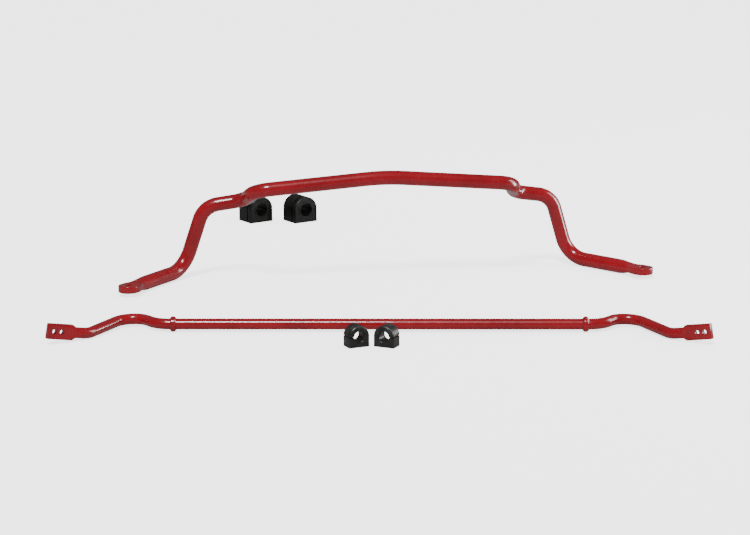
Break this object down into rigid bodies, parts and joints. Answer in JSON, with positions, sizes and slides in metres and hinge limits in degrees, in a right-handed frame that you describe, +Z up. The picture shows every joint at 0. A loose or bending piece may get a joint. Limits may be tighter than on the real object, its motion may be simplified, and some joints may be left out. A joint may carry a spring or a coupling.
{
  "type": "sway bar kit",
  "caption": "Red front and rear sway bars for a car, with flattened drilled ends and locating collars, laid out with their black split D-bushes.",
  "frame": {"origin": "on the floor, in the middle of the box round the laid-out kit", "axes": "+X along the rear bar, +Z up; the toes of both bars and the rear bushes are on the -Y side and the front bushes on the +Y side"},
  "size_m": [1.1936, 1.1468, 0.2185],
  "materials": {
    "red_powder_coat": "gloss",
    "black_polyurethane": "satin"
  },
  "bodies": {
    "rear_bar": {"rear_bar": "red_powder_coat", "rear_collar_left": "red_powder_coat", "rear_collar_right": "red_powder_coat"},
    "front_bar": {"front_bar": "red_powder_coat"},
    "rear_bush_left": {"rear_bush_left_base": "black_polyurethane"},
    "rear_bush_left_cap": {"rear_bush_left_cap": "black_polyurethane"},
    "rear_bush_right": {"rear_bush_right_base": "black_polyurethane"},
    "rear_bush_right_cap": {"rear_bush_right_cap": "black_polyurethane"},
    "front_bush_left": {"front_bush_left_base": "black_polyurethane"},
    "front_bush_left_cap": {"front_bush_left_cap": "black_polyurethane"},
    "front_bush_right": {"front_bush_right_base": "black_polyurethane"},
    "front_bush_right_cap": {"front_bush_right_cap": "black_polyurethane"}
  },
  "joints": [
    {"name": "front_bar_lift", "type": "slide", "parent": "rear_bar", "child": "front_bar", "axis": [0, 0, 1], "range_m": [0, 0.25]},
    {"name": "rear_bush_left_lift", "type": "slide", "parent": "rear_bar", "child": "rear_bush_left", "axis": [0, 0, 1], "range_m": [0, 0.06]},
    {"name": "rear_bush_left_opening", "type": "hinge", "parent": "rear_bush_left", "child": "rear_bush_left_cap", "pos_m": [-0.02324, -0.54481, 0.0196], "axis": [-0.4226, 0.9063, 0], "range_deg": [0, 30], "stiffness_Nm_per_rad": 0.6},
    {"name": "rear_bush_right_lift", "type": "slide", "parent": "rear_bar", "child": "rear_bush_right", "axis": [0, 0, 1], "range_m": [0, 0.06]},
    {"name": "rear_bush_right_opening", "type": "hinge", "parent": "rear_bush_right", "child": "rear_bush_right_cap", "pos_m": [-0.00476, -0.54481, 0.0196], "axis": [-0.4226, -0.9063, 0], "range_deg": [0, 30], "stiffness_Nm_per_rad": 0.6},
    {"name": "front_bush_left_lift", "type": "slide", "parent": "rear_bar", "child": "front_bush_left", "axis": [0, 0, 1], "range_m": [0, 0.08]},
    {"name": "front_bush_left_opening", "type": "hinge", "parent": "front_bush_left", "child": "front_bush_left_cap", "pos_m": [-0.29088, 0.52247, 0.0276], "axis": [0.5592, -0.829, 0], "range_deg": [0, 32], "stiffness_Nm_per_rad": 2},
    {"name": "front_bush_right_lift", "type": "slide", "parent": "rear_bar", "child": "front_bush_right", "axis": [0, 0, 1], "range_m": [0, 0.08]},
    {"name": "front_bush_right_opening", "type": "hinge", "parent": "front_bush_right", "child": "front_bush_right_cap", "pos_m": [-0.19488, 0.52247, 0.0276], "axis": [0.5592, -0.829, 0], "range_deg": [0, 32], "stiffness_Nm_per_rad": 2}
  ]
}
